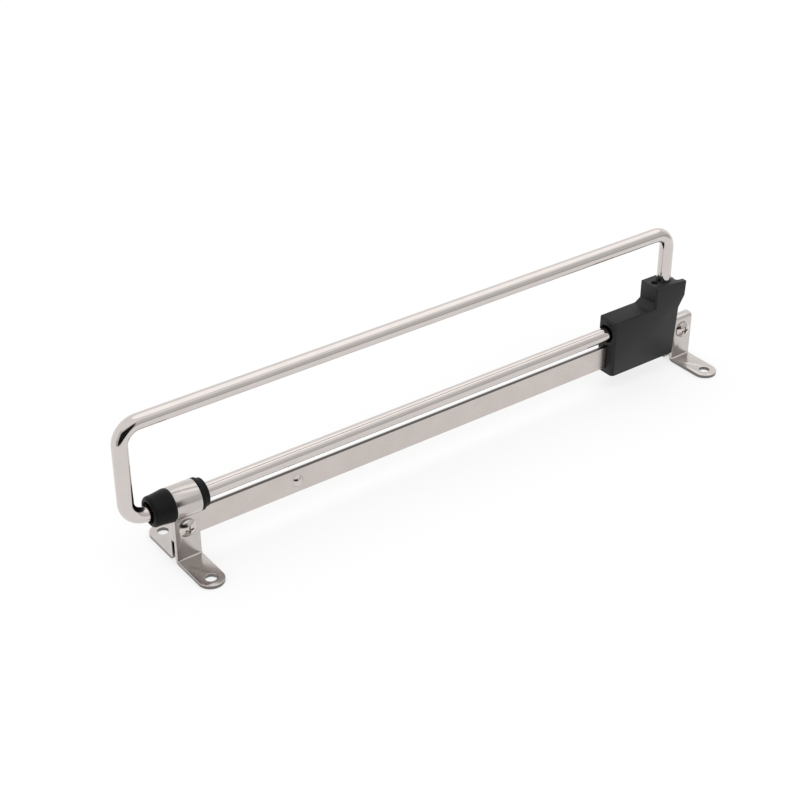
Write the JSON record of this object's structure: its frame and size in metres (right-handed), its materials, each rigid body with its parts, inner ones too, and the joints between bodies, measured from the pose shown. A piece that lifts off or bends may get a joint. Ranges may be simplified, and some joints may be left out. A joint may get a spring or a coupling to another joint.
{
  "type": "pull-out clothes rail",
  "caption": "Pull-out wardrobe rail: a chromed bent-rod loop with a black block slides along a flat bar held by two strap brackets with drilled feet.",
  "frame": {"origin": "centre of the four foot holes, on the underside of the bracket feet, which is the face that goes against the shelf", "axes": "+X to the rear along the guide bar, -X the way the loop pulls out, +Z from the feet towards the hanging bar, Y across the bar"},
  "size_m": [0.3649, 0.0596, 0.0887],
  "materials": {
    "bright_rod": "bright nickel-chrome plating on steel rod",
    "satin_steel": "satin nickel plating on flat steel bar",
    "strap_steel": "semi-bright nickel plating on stamped steel strap",
    "fastener_steel": "bright zinc or nickel plating",
    "dark_steel": "black oxide",
    "black_rubber": "semi-matte",
    "black_plastic": "matte with a fine moulded grain"
  },
  "bodies": {
    "guide": {"guide_bar": "satin_steel", "front_bracket": "strap_steel", "rear_bracket": "strap_steel", "guide_bush": "black_rubber", "stop_rivet": "fastener_steel", "bracket_screws": "fastener_steel", "bracket_nuts": "fastener_steel"},
    "hanger": {"hanging_rod": "bright_rod", "slide_block": "black_plastic", "rod_set_screw": "dark_steel"}
  },
  "joints": [
    {"name": "rail_pull", "type": "slide", "parent": "guide", "child": "hanger", "axis": [-1, 0, 0], "range_m": [-0.001, 0.201]}
  ]
}
